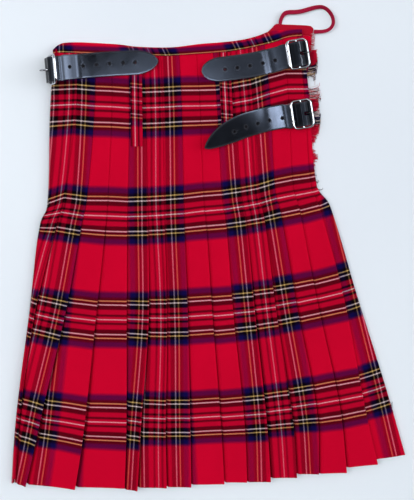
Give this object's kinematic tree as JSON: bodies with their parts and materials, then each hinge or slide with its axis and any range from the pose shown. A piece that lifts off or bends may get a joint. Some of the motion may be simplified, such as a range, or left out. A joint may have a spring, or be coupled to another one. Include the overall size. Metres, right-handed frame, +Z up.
{
  "type": "scottish kilt",
  "caption": "Pleated tartan kilt laid flat on its front, with buckled leather straps, belt loops, a fringed apron edge and a hanger loop.",
  "frame": {"origin": "middle of the underside of the laid kilt, without its hanger loop, on the surface it lies on", "axes": "+X to the wearer's right, +Y from the hem to the waist, +Z up out of the pleated back"},
  "size_m": [0.5626, 0.6712, 0.0356],
  "materials": {
    "tartan": "wool twill, matt",
    "red_tape": "woven tape, matt",
    "leather": "black, satin",
    "chrome": "polished"
  },
  "bodies": {
    "root": {"over_apron": "tartan", "waistband_front": "tartan", "under_apron": "tartan", "apron_fringe": "tartan", "pleated_back": "tartan", "waistband_back": "tartan", "belt_loop_left": "tartan", "belt_loop_right": "tartan", "hanger_loop": "red_tape", "strap_waist_left": "leather", "buckle_tab_waist_left": "leather", "buckle_waist_left": "chrome", "prong_waist_left": "chrome", "strap_waist_right": "leather", "buckle_tab_waist_right": "leather", "buckle_waist_right": "chrome", "prong_waist_right": "chrome", "strap_hip_right": "leather", "buckle_tab_hip_right": "leather", "buckle_hip_right": "chrome", "prong_hip_right": "chrome"}
  },
  "joints": []
}
